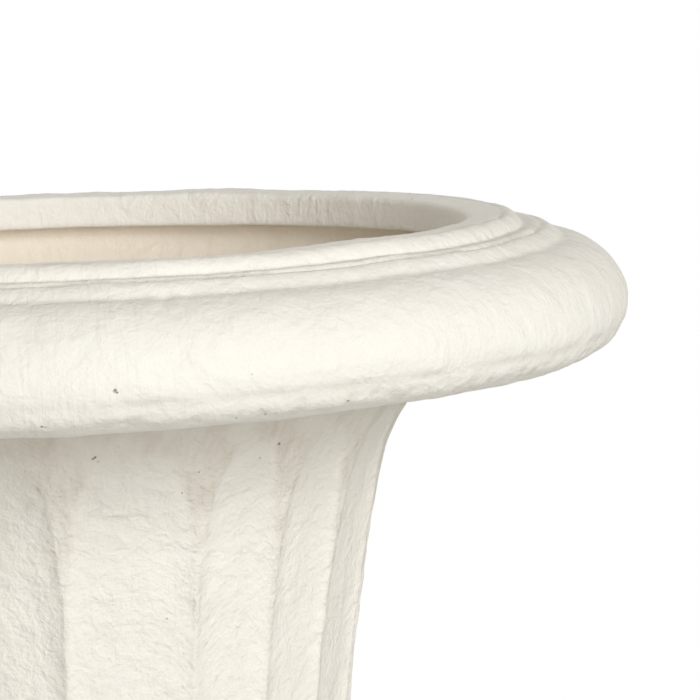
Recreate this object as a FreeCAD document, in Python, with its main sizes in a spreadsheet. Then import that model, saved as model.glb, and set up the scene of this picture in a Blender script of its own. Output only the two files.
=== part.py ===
import FreeCAD, Part
import math
import os
import re
import Sketcher

# Fluted urn planter on a turned pedestal and a square plinth, drawn together by one threaded rod.
# Millimetres, +Z up. The origin is on the floor, under the middle of the urn.

SIZES = {
    # rolled rim, measured outwards from the mouth and down from the crest
    "mouth_radius": 190.0,
    "lip_height": 17.0,
    "lip_overhang": 13.0,
    "lip_edge_round": 3.0,
    "crest_inset": 17.0,
    "crest_rise": 1.0,
    "crest_round": 8.0,
    "first_step_reach": 25.0,
    "first_step_drop": 6.5,
    "second_step_reach": 18.0,
    "second_step_drop": 5.5,
    "second_step_round": 16.0,
    "roll_reach": 29.5,
    "roll_round": 30.0,
    "roll_depth": 28.0,
    "roll_tuck": 18.5,
    "roll_tuck_round": 22.0,
    "rim_height": 61.0,
    "rim_throat_round": 60.0,
    "rim_throat_height": 35.0,
    # bell of the bowl
    "waist_radius": 125.5,
    "bell_height": 270.0,
    "bell_sweep": 1000.0,
    "bell_flare": 100.0,
    "flare_height": 55.0,
    "bowl_wall": 16.0,
    "flute_pairs": 10,
    "flute_width": 36.0,
    "flute_depth": 7.0,
    "flute_end_ease": 0.6,
    "flute_top_short": 0.3,
    "flute_foot_drop": 0.2,
    "flute_turn": 8.0,
    # lower cup of the bowl
    "neck_height": 30.0,
    "astragal_height": 14.0,
    "astragal_reach": 10.0,
    "cup_overhang": 22.5,
    "cup_curve": 65.0,
    "cup_shoulder": 34.0,
    "collar_height": 10.0,
    "collar_inset": 13.0,
    "gadroon_groove": 17.0,
    "gadroon_depth": 6.0,
    "gadroon_top_angle": 22.0,
    "gadroon_foot_angle": 78.0,
    # pedestal
    "pedestal_height": 184.0,
    "pedestal_wall": 14.0,
    "seat_margin": 5.0,
    "seat_edge": 10.0,
    "seat_lip": 6.0,
    "seat_flare": 36.0,
    "seat_flare_height": 32.0,
    "neck_radius": 44.0,
    "knop_reach": 15.0,
    "knop_height": 22.0,
    "knop_band": 6.0,
    "knop_band_height": 5.0,
    "foot_radius": 118.0,
    "foot_bead": 24.0,
    "foot_step": 10.0,
    "foot_step_height": 6.0,
    "foot_sweep": 96.0,
    "foot_sweep_inset": 4.0,
    # plinth and its pads
    "plinth_width": 250.0,
    "plinth_height": 45.0,
    "plinth_wall": 16.0,
    "plinth_web": 14.0,
    "plinth_edge_round": 3.0,
    "plinth_corner_block": 50.0,
    "plinth_drain_radius": 7.0,
    "plinth_drain_circle": 60.0,
    "plinth_drain_count": 4,
    "pad_radius": 14.0,
    "pad_thickness": 5.0,
    "pad_inset": 17.0,
    # tie rod and what it pulls on
    "rod_radius": 6.0,
    "rod_hole_gap": 1.0,
    "rod_stand_out": 6.0,
    "rod_end_chamfer": 1.2,
    "thread_gap": 0.3,
    "nut_width": 19.0,
    "nut_height": 10.0,
    "washer_radius": 20.0,
    "washer_thickness": 4.0,
    "seal_radius": 21.0,
    "seal_thickness": 4.0,
    "gasket_thickness": 3.0,
    "gasket_inset": 2.0,
    # drain through the bowl's floor
    "drain_offset": 38.0,
    "drain_radius": 10.0,
    "sleeve_wall": 2.0,
    "sleeve_flange": 3.5,
    "sleeve_flange_thickness": 3.0,
    "sleeve_gap": 0.5,
    "sleeve_shortfall": 4.0,
    "plug_gap": 0.3,
    "plug_depth": 14.0,
    "plug_taper": 1.0,
    "plug_head": 4.0,
    "plug_head_thickness": 4.0,
    "pull_radius": 9.0,
    "pull_wire": 2.0,
}

doc = FreeCAD.newDocument("UrnPlanter")
sheet = doc.addObject("Spreadsheet::Sheet", "Sizes")
for row, (size_name, size) in enumerate(SIZES.items(), start=1):
    sheet.set(f"A{row}", size_name)
    sheet.set(f"B{row}", str(size))
    sheet.setAlias(f"B{row}", size_name)
doc.recompute()

# Levels of the stack, from the floor up.
PLINTH_TOP = "(pad_thickness + plinth_height)"
WEB_UNDERSIDE = f"({PLINTH_TOP} - plinth_web)"
PEDESTAL_TOP = f"({PLINTH_TOP} + pedestal_height)"
BOWL_BOTTOM = f"({PEDESTAL_TOP} + gasket_thickness)"
CUP_BOTTOM = f"({BOWL_BOTTOM} + collar_height)"
CUP_MIDDLE = f"({CUP_BOTTOM} + cup_curve)"
CUP_TOP = f"({CUP_MIDDLE} + cup_shoulder)"
BOWL_FLOOR = f"({CUP_BOTTOM} + bowl_wall)"
WAIST = f"({CUP_TOP} + astragal_height + neck_height)"
RIM_SEAT = f"({WAIST} + bell_height)"
CREST = f"({RIM_SEAT} + rim_height)"

# Places worked out from the sizes.
CUP_CENTRE = "(waist_radius + cup_overhang - cup_curve)"
COLLAR_RADIUS = f"({CUP_CENTRE} - collar_inset)"
FLARE_START = "(bell_height - flare_height)"
FLARE_SINE = f"({FLARE_START} / bell_sweep)"
FLARE_COSINE = f"sqrt(1 - {FLARE_SINE} ^ 2)"
FLARE_CENTRE = f"(waist_radius + bell_sweep - (bell_sweep - bell_flare) * {FLARE_COSINE})"
FLARE_RISE = f"(bell_height - (bell_sweep - bell_flare) * {FLARE_SINE})"
THROAT_RADIUS = f"({FLARE_CENTRE} - sqrt(bell_flare ^ 2 - {FLARE_RISE} ^ 2))"
THROAT_BORE = f"({FLARE_CENTRE} - sqrt((bell_flare + bowl_wall) ^ 2 - {FLARE_RISE} ^ 2))"
ROD_HOLE = "(rod_radius + rod_hole_gap)"
NUT_BORE = "(rod_radius + thread_gap)"
SLEEVE_RADIUS = "(drain_radius + sleeve_wall)"
SLEEVE_HOLE = f"({SLEEVE_RADIUS} + sleeve_gap)"
FLANGE_RADIUS = f"({SLEEVE_RADIUS} + sleeve_flange)"
UPPER_WASHER = f"({BOWL_FLOOR} + seal_thickness)"
UPPER_NUT = f"({UPPER_WASHER} + washer_thickness)"
LOWER_WASHER = f"({WEB_UNDERSIDE} - washer_thickness)"
LOWER_NUT = f"({LOWER_WASHER} - nut_height)"

NODES = []


def linked(formula):
    """Point every size named in a formula at its cell."""
    return re.sub(r"[a-z]\w*", lambda word: f"Sizes.{word[0]}" if word[0] in SIZES else word[0], formula)


def value(formula):
    """The number that a formula gives now."""
    return float(sheet.evalExpression(linked(formula)))


def bind(item, **formulas):
    """Bind properties to formulas. Two underscores stand for a dot in the property's name."""
    for name, formula in formulas.items():
        item.setExpression(name.replace("__", "."), linked(formula))


def place(item, across="0", along="0", up="0", turn="0"):
    """Bind where an item stands and how far it is turned about the upright axis."""
    item.Placement.Rotation = FreeCAD.Rotation(FreeCAD.Vector(0, 0, 1), 1)
    bind(
        item,
        Placement__Base__x=across,
        Placement__Base__y=along,
        Placement__Base__z=up,
        Placement__Rotation__Angle=turn,
    )


def node(item, name):
    """Name a finished sub-part."""
    item.Label = name
    NODES.append(item)


def new_body(name):
    body = doc.addObject("PartDesign::Body", name.title().replace("_", ""))
    node(body, name)
    return body


def origin_plane(body, role):
    return next(item for item in body.Origin.OriginFeatures if item.Role == role)


def new_sketch(body, name, role, up=None, turn=None):
    """A sketch on one of the body's own planes, raised off it or turned on it where asked."""
    sketch = body.newObject("Sketcher::SketchObject", name)
    sketch.AttachmentSupport = (origin_plane(body, role), "")
    sketch.MapMode = "FlatFace"
    if turn is not None:
        sketch.AttachmentOffset.Rotation = FreeCAD.Rotation(FreeCAD.Vector(0, 0, 1), 1)
        bind(sketch, AttachmentOffset__Rotation__Angle=turn)
    if up is not None:
        bind(sketch, AttachmentOffset__Base__z=up)
    return sketch


def hold(sketch, kind, *geometry, formula):
    """Add a sized constraint that follows a formula."""
    index = sketch.addConstraint(Sketcher.Constraint(kind, *geometry, value(formula)))
    sketch.setExpression(f"Constraints[{index}]", linked(formula))


def pin_point(sketch, curve, end, across, up):
    """Hold a point at a place measured from the sketch's origin."""
    for kind, axis, formula in (("DistanceX", -2, across), ("DistanceY", -1, up)):
        if formula == "0":
            sketch.addConstraint(Sketcher.Constraint("PointOnObject", curve, end, axis))
        else:
            hold(sketch, kind, -1, 1, curve, end, formula=formula)


def arc_between(start, finish, radius):
    """An arc from start to finish. A positive radius bulges to the right of that direction."""
    chord = finish - start
    rise = math.sqrt(max(radius * radius - chord.Length**2 / 4, 0.0))
    left = FreeCAD.Vector(-chord.y, chord.x, 0).normalize()
    centre = (start + finish) / 2 + left * math.copysign(rise, radius)
    first, last = (start, finish) if radius > 0 else (finish, start)
    circle = Part.Circle(centre, FreeCAD.Vector(0, 0, 1), abs(radius))
    return Part.ArcOfCircle(circle, circle.parameter(first), circle.parameter(last))


def outline(sketch, corners):
    """A closed outline. A corner is (across, up), or (across, up, radius) where an arc runs to it.
    A formula for a radius that starts with a minus makes the arc bulge to the left, and the word
    half makes a half round."""
    points = [FreeCAD.Vector(value(c[0]), value(c[1]), 0) for c in corners]
    ends = []
    for index, corner in enumerate(corners):
        start = points[index - 1]
        finish = points[index]
        if len(corner) == 2:
            curve = sketch.addGeometry(Part.LineSegment(start, finish))
            ends.append((curve, 1, 2))
            continue
        half = corner[2] == "half"
        radius = (finish - start).Length / 2 if half else value(corner[2])
        curve = sketch.addGeometry(arc_between(start, finish, radius))
        if half:
            sketch.addConstraint(Sketcher.Constraint("Symmetric", curve, 1, curve, 2, curve, 3))
        else:
            hold(sketch, "Radius", curve, formula=corner[2].lstrip("-"))
        ends.append((curve, 1, 2) if radius > 0 else (curve, 2, 1))
    for index, corner in enumerate(corners):
        curve, _, end = ends[index]
        following, start, _ = ends[(index + 1) % len(ends)]
        sketch.addConstraint(Sketcher.Constraint("Coincident", curve, end, following, start))
        pin_point(sketch, curve, end, corner[0], corner[1])


def turned(body, name, corners):
    """Turn an outline of radius and height about the upright axis."""
    sketch = new_sketch(body, name + "Outline", "XZ_Plane")
    outline(sketch, corners)
    feature = body.newObject("PartDesign::Revolution", name)
    feature.Profile = sketch
    feature.ReferenceAxis = (sketch, ["V_Axis"])
    feature.Angle = 360


def circle_at(sketch, radius, across, along="0"):
    """A circle whose centre is held at a place in the sketch."""
    centre = FreeCAD.Vector(value(across), value(along), 0)
    curve = sketch.addGeometry(Part.Circle(centre, FreeCAD.Vector(0, 0, 1), value(radius)))
    hold(sketch, "Radius", curve, formula=radius)
    pin_point(sketch, curve, 3, across, along)


def bored(body, name, radius, level, depth, across="0", along="0"):
    """A round hole, cut downwards from a level."""
    sketch = new_sketch(body, name + "Circle", "XY_Plane", up=level)
    circle_at(sketch, radius, across, along)
    feature = body.newObject("PartDesign::Pocket", name)
    feature.Profile = sketch
    bind(feature, Length=depth)
    return feature


def swung_channel(body, name, level, hinge, centre, radius, forward, backward, turn="0"):
    """A round channel. Its section swings both ways about a level axis that passes through hinge."""
    sketch = new_sketch(body, name + "Section", "XY_Plane", up=level, turn=turn)
    circle_at(sketch, radius, centre)
    half = value(radius)
    low = FreeCAD.Vector(value(hinge), -half, 0)
    axis = sketch.addGeometry(Part.LineSegment(low, low + FreeCAD.Vector(0, 2 * half, 0)), True)
    sketch.addConstraint(Sketcher.Constraint("Symmetric", axis, 1, axis, 2, -1))
    hold(sketch, "DistanceX", -1, 1, axis, 1, formula=hinge)
    hold(sketch, "DistanceY", axis, 1, axis, 2, formula=f"2 * {radius}")
    feature = body.newObject("PartDesign::Groove", name)
    feature.Profile = sketch
    feature.ReferenceAxis = (sketch, ["Axis0"])
    feature.Type = "TwoAngles"
    bind(feature, Angle=forward, Angle2=backward)
    return feature


def hollow_ball(body, name, radius, reach, up, turn="0"):
    """A ball cut out of the body at a reach from the upright axis."""
    feature = body.newObject("PartDesign::SubtractiveSphere", name)
    bind(
        feature,
        Radius=radius,
        Placement__Base__x=f"({reach}) * cos({turn})",
        Placement__Base__y=f"({reach}) * sin({turn})",
        Placement__Base__z=up,
    )
    return feature


def repeat_round(body, name, features, count):
    """Repeat features round the upright axis."""
    pattern = body.newObject("PartDesign::PolarPattern", name)
    pattern.Originals = features
    pattern.Axis = (origin_plane(body, "Z_Axis"), "")
    pattern.Angle = 360
    bind(pattern, Occurrences=count)
    body.Tip = pattern


def cylinder(name, radius, thickness, up, across="0", along="0"):
    item = doc.addObject("Part::Cylinder", name)
    bind(item, Radius=radius, Height=thickness)
    place(item, across, along, up)
    return item


def cut(name, base, *tools):
    """Take tools away from a base."""
    for index, tool in enumerate(tools, start=1):
        item = doc.addObject("Part::Cut", f"{name}{index}")
        item.Base = base
        item.Tool = tool
        base = item
    return base


def group(name, items):
    """Like pieces in one node, each its own solid."""
    item = doc.addObject("Part::Compound", name)
    item.Links = items
    return item


def make_foot_pads():
    """Four rubber discs under the corners of the plinth."""
    reach = "(plinth_width / 2 - pad_inset)"
    pads = []
    for index, (side, end) in enumerate(((1, 1), (-1, 1), (-1, -1), (1, -1)), start=1):
        pad = cylinder(f"Pad{index}", "pad_radius", "pad_thickness", "0")
        place(pad, f"{side} * {reach}", f"{end} * {reach}")
        pads.append(pad)
    node(group("FootPads", pads), "foot_pads")


def square(sketch, width):
    """A square centred on the sketch's origin."""
    half = value(width) / 2
    corners = [FreeCAD.Vector(x * half, y * half, 0) for x, y in ((-1, -1), (1, -1), (1, 1), (-1, 1))]
    for index in range(4):
        sketch.addGeometry(Part.LineSegment(corners[index], corners[(index + 1) % 4]))
    for index in range(4):
        sketch.addConstraint(Sketcher.Constraint("Coincident", index, 2, (index + 1) % 4, 1))
    for index, kind in enumerate(("Horizontal", "Vertical", "Horizontal", "Vertical")):
        sketch.addConstraint(Sketcher.Constraint(kind, index))
    sketch.addConstraint(Sketcher.Constraint("Symmetric", 0, 1, 2, 1, -1, 1))
    hold(sketch, "DistanceX", 0, 1, 0, 2, formula=width)
    hold(sketch, "DistanceY", 1, 1, 1, 2, formula=width)


def upright_edges(feature):
    """Names of the edges of a feature that stand upright."""
    names = []
    for index, edge in enumerate(feature.Shape.Edges, start=1):
        start, finish = (vertex.Point for vertex in edge.Vertexes)
        if abs(start.z - finish.z) > 1 and (start - finish).Length - abs(start.z - finish.z) < 0.01:
            names.append(f"Edge{index}")
    return names


def make_plinth():
    """Square block, hollow from below, with a thick web that the rod pulls on."""
    body = new_body("plinth")
    base_sketch = new_sketch(body, "PlinthSquare", "XY_Plane", up="pad_thickness")
    square(base_sketch, "plinth_width")
    block = body.newObject("PartDesign::Pad", "PlinthBlock")
    block.Profile = base_sketch
    bind(block, Length="plinth_height")
    doc.recompute()
    rounded = body.newObject("PartDesign::Fillet", "PlinthEdges")
    top_edges = [
        f"Edge{index}"
        for index, edge in enumerate(block.Shape.Edges, start=1)
        if edge.BoundBox.ZMin > value(PLINTH_TOP) - 1
    ]
    rounded.Base = (block, upright_edges(block) + top_edges)
    bind(rounded, Radius="plinth_edge_round")
    hollow_sketch = new_sketch(body, "PlinthHollowSquare", "XY_Plane", up=WEB_UNDERSIDE)
    square(hollow_sketch, "(plinth_width - 2 * plinth_wall)")
    rounding = value("plinth_corner_block")
    for corner in range(4):
        inside = hollow_sketch.getPoint(corner, 1) * 0.9
        hollow_sketch.fillet((corner - 1) % 4, corner, inside, inside, rounding, True, True, False)
    for index, curve in enumerate(hollow_sketch.Geometry):
        if isinstance(curve, Part.ArcOfCircle):
            hold(hollow_sketch, "Radius", index, formula="plinth_corner_block")
    hollow = body.newObject("PartDesign::Pocket", "PlinthHollow")
    hollow.Profile = hollow_sketch
    bind(hollow, Length="plinth_height - plinth_web")
    bored(body, "PlinthRodHole", ROD_HOLE, PLINTH_TOP, "plinth_web")
    drain = bored(body, "PlinthDrain", "plinth_drain_radius", PLINTH_TOP, "plinth_web", "plinth_drain_circle")
    repeat_round(body, "PlinthDrains", [drain], "plinth_drain_count")


def make_pedestal():
    """Turned foot with a bead, a long hollow sweep, a knop and a flared seat. Hollow inside."""
    body = new_body("pedestal")
    seat_radius = f"({COLLAR_RADIUS} + seat_margin)"
    bead_side = "(foot_radius - foot_bead / 2)"
    bead_top = f"({PLINTH_TOP} + foot_bead)"
    step_radius = f"({bead_side} - foot_step)"
    sweep_radius = f"({step_radius} - foot_sweep_inset)"
    sweep_foot = f"({bead_top} + foot_step_height)"
    flare_foot = f"({PEDESTAL_TOP} - seat_edge - seat_flare_height)"
    upper_band = f"({flare_foot} - knop_band_height)"
    knop_foot = f"({upper_band} - knop_height)"
    sweep_top = f"({knop_foot} - knop_band_height)"
    band_radius = "(neck_radius + knop_band)"
    knop_side = "(neck_radius + knop_reach - knop_height / 2)"
    neck_bore = "(neck_radius - pedestal_wall)"
    plate_underside = f"({PEDESTAL_TOP} - pedestal_wall)"
    cavity_radius = f"({seat_radius} - seat_lip - pedestal_wall)"
    turned(
        body,
        "PedestalTurning",
        [
            (f"({step_radius} - pedestal_wall)", PLINTH_TOP),
            (bead_side, PLINTH_TOP),
            (bead_side, bead_top, "half"),
            (step_radius, bead_top),
            (step_radius, sweep_foot),
            (sweep_radius, sweep_foot),
            ("neck_radius", sweep_top, "-foot_sweep"),
            (band_radius, sweep_top),
            (band_radius, knop_foot),
            (knop_side, knop_foot),
            (knop_side, upper_band, "half"),
            (band_radius, upper_band),
            (band_radius, flare_foot),
            ("neck_radius", flare_foot),
            (f"({seat_radius} - seat_lip)", f"({PEDESTAL_TOP} - seat_edge)", "-seat_flare"),
            (seat_radius, f"({PEDESTAL_TOP} - seat_edge)"),
            (seat_radius, PEDESTAL_TOP),
            (ROD_HOLE, PEDESTAL_TOP),
            (ROD_HOLE, plate_underside),
            (cavity_radius, plate_underside),
            (neck_bore, flare_foot, "seat_flare + pedestal_wall"),
            (neck_bore, sweep_top),
            (f"({sweep_radius} - pedestal_wall)", sweep_foot, "foot_sweep + pedestal_wall"),
        ],
    )
    bored(body, "PedestalDrain", SLEEVE_HOLE, PEDESTAL_TOP, "pedestal_wall", "drain_offset")


def make_bowl_gasket():
    """Rubber sheet washer that beds the bowl on the pedestal."""
    disc = cylinder("GasketDisc", f"{COLLAR_RADIUS} - gasket_inset", "gasket_thickness", PEDESTAL_TOP)
    rod_hole = cylinder("GasketRodHole", ROD_HOLE, "gasket_thickness", PEDESTAL_TOP)
    drain_hole = cylinder("GasketDrainHole", SLEEVE_HOLE, "gasket_thickness", PEDESTAL_TOP, "drain_offset")
    node(cut("GasketCut", disc, rod_hole, drain_hole), "bowl_gasket")


def cut_flutes(body, name, turn):
    """Every second flute: a shallow channel up the bell's sweep with a rounded foot and arch."""
    tool = "((flute_width ^ 2 / 4 + flute_depth ^ 2) / (2 * flute_depth))"
    tool_centre = f"(waist_radius - flute_depth + {tool})"
    hinge = "(waist_radius + bell_sweep)"
    swing = f"({hinge} - {tool_centre})"
    upward = f"(asin({FLARE_SINE}) - flute_top_short * 1 deg)"
    downward = "(flute_foot_drop * 1 deg)"
    channel = swung_channel(
        body, f"{name}Channel", WAIST, hinge, tool_centre, tool, upward, downward, turn
    )
    repeat_round(body, f"{name}Channels", [channel], "flute_pairs")
    ends = [
        hollow_ball(
            body,
            name + end,
            f"{tool} + flute_end_ease",
            f"{hinge} - {swing} * cos({angle})",
            f"{WAIST} {sign} {swing} * sin({angle})",
            turn,
        )
        for end, sign, angle in (("Foot", "-", downward), ("Arch", "+", upward))
    ]
    repeat_round(body, f"{name}Ends", ends, "flute_pairs")


def make_bowl():
    """Bell, waist and cup in one casting, with flutes up the bell and gadroons round the cup."""
    body = new_body("fluted_bowl")
    place(body, turn="-flute_turn")
    junction = f"({WAIST} + {FLARE_START})"
    inner_junction = f"({WAIST} + (bell_sweep + bowl_wall) * {FLARE_SINE})"
    sweep_line = f"(waist_radius + bell_sweep * (1 - {FLARE_COSINE}))"
    inner_sweep_line = f"(waist_radius + bell_sweep - (bell_sweep + bowl_wall) * {FLARE_COSINE})"
    astragal_top = f"({CUP_TOP} + astragal_height)"
    astragal_side = "(waist_radius + astragal_reach - astragal_height / 2)"
    shoulder = f"({CUP_CENTRE} + sqrt(cup_curve ^ 2 - cup_shoulder ^ 2))"
    waist_bore = "(waist_radius - bowl_wall)"
    cup_bore = "(cup_curve - bowl_wall)"
    inner_shoulder = f"({CUP_MIDDLE} + sqrt({cup_bore} ^ 2 - ({waist_bore} - {CUP_CENTRE}) ^ 2))"
    turned(
        body,
        "BowlTurning",
        [
            (ROD_HOLE, BOWL_BOTTOM),
            (COLLAR_RADIUS, BOWL_BOTTOM),
            (COLLAR_RADIUS, CUP_BOTTOM),
            (CUP_CENTRE, CUP_BOTTOM),
            (shoulder, CUP_TOP, "cup_curve"),
            (astragal_side, CUP_TOP),
            (astragal_side, astragal_top, "half"),
            ("waist_radius", astragal_top),
            ("waist_radius", WAIST),
            (sweep_line, junction, "-bell_sweep"),
            (THROAT_RADIUS, RIM_SEAT, "-bell_flare"),
            (THROAT_BORE, RIM_SEAT),
            (inner_sweep_line, inner_junction, "bell_flare + bowl_wall"),
            (waist_bore, WAIST, "bell_sweep + bowl_wall"),
            (waist_bore, inner_shoulder),
            (CUP_CENTRE, BOWL_FLOOR, f"-{cup_bore}"),
            (ROD_HOLE, BOWL_FLOOR),
        ],
    )
    for name, turn in (("Even", "0"), ("Odd", "180 / flute_pairs")):
        cut_flutes(body, name, turn)
    groove_tool = "((gadroon_groove ^ 2 / 4 + gadroon_depth ^ 2) / (2 * gadroon_depth))"
    groove_centre = f"({CUP_CENTRE} + cup_curve - gadroon_depth + {groove_tool})"
    groove = swung_channel(
        body,
        "GadroonGroove",
        CUP_MIDDLE,
        CUP_CENTRE,
        groove_centre,
        groove_tool,
        "gadroon_foot_angle",
        "gadroon_top_angle",
    )
    repeat_round(body, "Gadroons", [groove], "2 * flute_pairs")
    across = "(drain_offset * cos(flute_turn))"
    along = "(drain_offset * sin(flute_turn))"
    bored(body, "BowlDrain", SLEEVE_HOLE, BOWL_FLOOR, f"{BOWL_FLOOR} - {BOWL_BOTTOM}", across, along)
    bored(
        body,
        "BowlDrainSeat",
        f"({FLANGE_RADIUS} + sleeve_gap)",
        BOWL_FLOOR,
        "sleeve_flange_thickness",
        across,
        along,
    )


def make_rim():
    """Rolled rim: an inner lip, two soft steps and a fat roll, bonded on top of the bell."""
    body = new_body("rim_ring")
    mouth_edge = f"({CREST} - crest_rise)"
    first_side = "(mouth_radius + first_step_reach)"
    first_foot = f"({CREST} - first_step_drop)"
    second_side = f"({first_side} + second_step_reach)"
    second_foot = f"({first_foot} - second_step_drop)"
    roll_side = f"({second_side} + roll_reach)"
    roll_middle = f"({second_foot} - roll_depth)"
    lip_foot = f"({mouth_edge} - lip_height)"
    recess = "(mouth_radius + lip_overhang)"
    turned(
        body,
        "RimTurning",
        [
            ("mouth_radius", lip_foot),
            (recess, lip_foot),
            (recess, f"({RIM_SEAT} + rim_throat_height)"),
            (THROAT_BORE, RIM_SEAT, "-rim_throat_round"),
            (f"({roll_side} - roll_tuck)", RIM_SEAT),
            (roll_side, roll_middle, "roll_tuck_round"),
            (second_side, second_foot, "roll_round"),
            (first_side, first_foot, "second_step_round"),
            ("(mouth_radius + crest_inset)", CREST, "crest_round"),
            ("(mouth_radius + lip_edge_round)", mouth_edge),
            ("mouth_radius", f"({mouth_edge} - lip_edge_round)", "lip_edge_round"),
        ],
    )


def make_tie_rod():
    """Threaded rod through floor, pedestal and web, shown at its outer thread diameter."""
    foot = f"({LOWER_NUT} - rod_stand_out)"
    shaft = cylinder("RodShaft", "rod_radius", f"{UPPER_NUT} + nut_height + rod_stand_out - {foot}", foot)
    doc.recompute()
    rod = doc.addObject("Part::Chamfer", "RodEnds")
    rod.Base = shaft
    bevel = value("rod_end_chamfer")
    rod.Edges = [
        (index, bevel, bevel)
        for index, edge in enumerate(shaft.Shape.Edges, start=1)
        if edge.isClosed()
    ]
    node(rod, "tie_rod")


def washer(name, radius, bore, thickness, up):
    disc = cylinder(name + "Disc", radius, thickness, up)
    hole = cylinder(name + "Hole", bore, thickness, up)
    return cut(name + "Cut", disc, hole)


def make_washers():
    """Plate washers over the seal in the bowl and under the plinth's web."""
    upper = washer("UpperWasher", "washer_radius", NUT_BORE, "washer_thickness", UPPER_WASHER)
    lower = washer("LowerWasher", "washer_radius", NUT_BORE, "washer_thickness", LOWER_WASHER)
    node(group("TieWashers", [upper, lower]), "tie_washers")
    node(washer("RodSeal", "seal_radius", NUT_BORE, "seal_thickness", BOWL_FLOOR), "rod_seal")


def make_nuts():
    """Hex nuts at both ends of the rod."""
    nuts = []
    for name, level in (("UpperNut", UPPER_NUT), ("LowerNut", LOWER_NUT)):
        hexagon = doc.addObject("Part::Prism", name + "Hexagon")
        hexagon.Polygon = 6
        bind(hexagon, Circumradius="nut_width / sqrt(3)", Height="nut_height")
        place(hexagon, up=level)
        hole = cylinder(name + "Hole", NUT_BORE, "nut_height", level)
        nuts.append(cut(name + "Cut", hexagon, hole))
    node(group("TieNuts", nuts), "tie_nuts")


def make_drain_sleeve():
    """Flanged bush through the bowl's floor and the gasket into the pedestal."""
    body = new_body("drain_sleeve")
    foot = f"({PEDESTAL_TOP} - pedestal_wall + sleeve_shortfall)"
    flange_foot = f"({BOWL_FLOOR} - sleeve_flange_thickness)"
    place(body, "drain_offset")
    turned(
        body,
        "SleeveTurning",
        [
            ("drain_radius", foot),
            (SLEEVE_RADIUS, foot),
            (SLEEVE_RADIUS, flange_foot),
            (FLANGE_RADIUS, flange_foot),
            (FLANGE_RADIUS, BOWL_FLOOR),
            ("drain_radius", BOWL_FLOOR),
        ],
    )


def make_drain_plug():
    """Rubber plug with a pull loop. It stands in the sleeve on its head and lifts straight out."""
    body = new_body("drain_plug")
    stem = "(drain_radius - plug_gap)"
    head = "(drain_radius + plug_head)"
    head_top = f"({BOWL_FLOOR} + plug_head_thickness)"
    place(body, "drain_offset")
    turned(
        body,
        "PlugTurning",
        [
            ("0", f"({BOWL_FLOOR} - plug_depth)"),
            (f"({stem} - plug_taper)", f"({BOWL_FLOOR} - plug_depth)"),
            (stem, BOWL_FLOOR),
            (head, BOWL_FLOOR),
            (head, head_top),
            ("0", head_top),
        ],
    )
    loop_sketch = new_sketch(body, "PullSection", "XY_Plane", up=head_top)
    circle_at(loop_sketch, "pull_wire", "pull_radius")
    loop = body.newObject("PartDesign::Revolution", "PullLoop")
    loop.Profile = loop_sketch
    loop.ReferenceAxis = (loop_sketch, ["V_Axis"])
    loop.Angle = 180
    loop.Reversed = True


make_foot_pads()
make_plinth()
make_pedestal()
make_bowl_gasket()
make_bowl()
make_rim()
make_tie_rod()
make_washers()
make_nuts()
make_drain_sleeve()
make_drain_plug()
doc.recompute()

for item in doc.Objects:
    if "Invalid" in item.State or "Error" in item.State:
        raise RuntimeError(f"{item.Label} could not be built: {item.State}")
for item in NODES:
    if item.Shape.isNull() or not item.Shape.isValid():
        raise RuntimeError(f"{item.Label} has no sound shape")

os.makedirs("parts", exist_ok=True)
for item in NODES:
    item.Shape.exportStep(f"parts/{item.Label}.step")
    box = item.Shape.BoundBox
    print(
        f"{item.Label}: {len(item.Shape.Solids)} solid, {item.Shape.Volume / 1000:.1f} cm3, "
        f"z {box.ZMin:.1f} to {box.ZMax:.1f}"
    )
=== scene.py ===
import math
import random

import bpy
from mathutils import Matrix, Vector, kdtree, noise


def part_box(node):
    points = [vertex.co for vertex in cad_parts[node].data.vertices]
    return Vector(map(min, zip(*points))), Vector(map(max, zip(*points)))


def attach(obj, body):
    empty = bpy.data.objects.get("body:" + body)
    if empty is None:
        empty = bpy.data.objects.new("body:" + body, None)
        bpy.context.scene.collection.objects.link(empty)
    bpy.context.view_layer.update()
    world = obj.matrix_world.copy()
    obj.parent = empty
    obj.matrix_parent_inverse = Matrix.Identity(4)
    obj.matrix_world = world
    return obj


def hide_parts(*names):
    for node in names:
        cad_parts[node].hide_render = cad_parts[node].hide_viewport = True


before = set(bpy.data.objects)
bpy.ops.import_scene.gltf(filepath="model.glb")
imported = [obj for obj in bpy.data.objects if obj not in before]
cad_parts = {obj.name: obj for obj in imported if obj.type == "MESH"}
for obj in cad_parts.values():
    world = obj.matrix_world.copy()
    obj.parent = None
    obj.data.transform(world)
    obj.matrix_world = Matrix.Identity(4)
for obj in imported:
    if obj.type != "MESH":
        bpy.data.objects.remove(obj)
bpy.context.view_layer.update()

bpy.context.scene.cursor.location = (0, 0, 0)


# ---------------------------------------------------------------- foot pads
# Four discs punched from black sheet rubber and glued under the corners of the plinth.
# The punch leaves a soft edge and the sole has fine ringed ribs.

def stretch(start, finish, bulge, gap):
    """Points from start to finish, on a line or on an arc. A positive bulge lies to the right."""
    start = Vector(start)
    finish = Vector(finish)
    chord = finish - start
    if not bulge:
        count = max(1, round(chord.length / gap))
        return [start.lerp(finish, step / count) for step in range(1, count + 1)]
    left = Vector((-chord.y, chord.x)).normalized()
    rise = math.sqrt(max(bulge * bulge - chord.length_squared / 4, 0))
    centre = (start + finish) / 2 + left * math.copysign(rise, bulge)
    first = math.atan2(start.y - centre.y, start.x - centre.x)
    last = math.atan2(finish.y - centre.y, finish.x - centre.x)
    sweep = (last - first) % math.tau if bulge > 0 else -((first - last) % math.tau)
    count = max(2, round(abs(sweep * bulge) / gap))
    turns = [first + sweep * step / count for step in range(1, count + 1)]
    return [centre + abs(bulge) * Vector((math.cos(turn), math.sin(turn))) for turn in turns]


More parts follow.
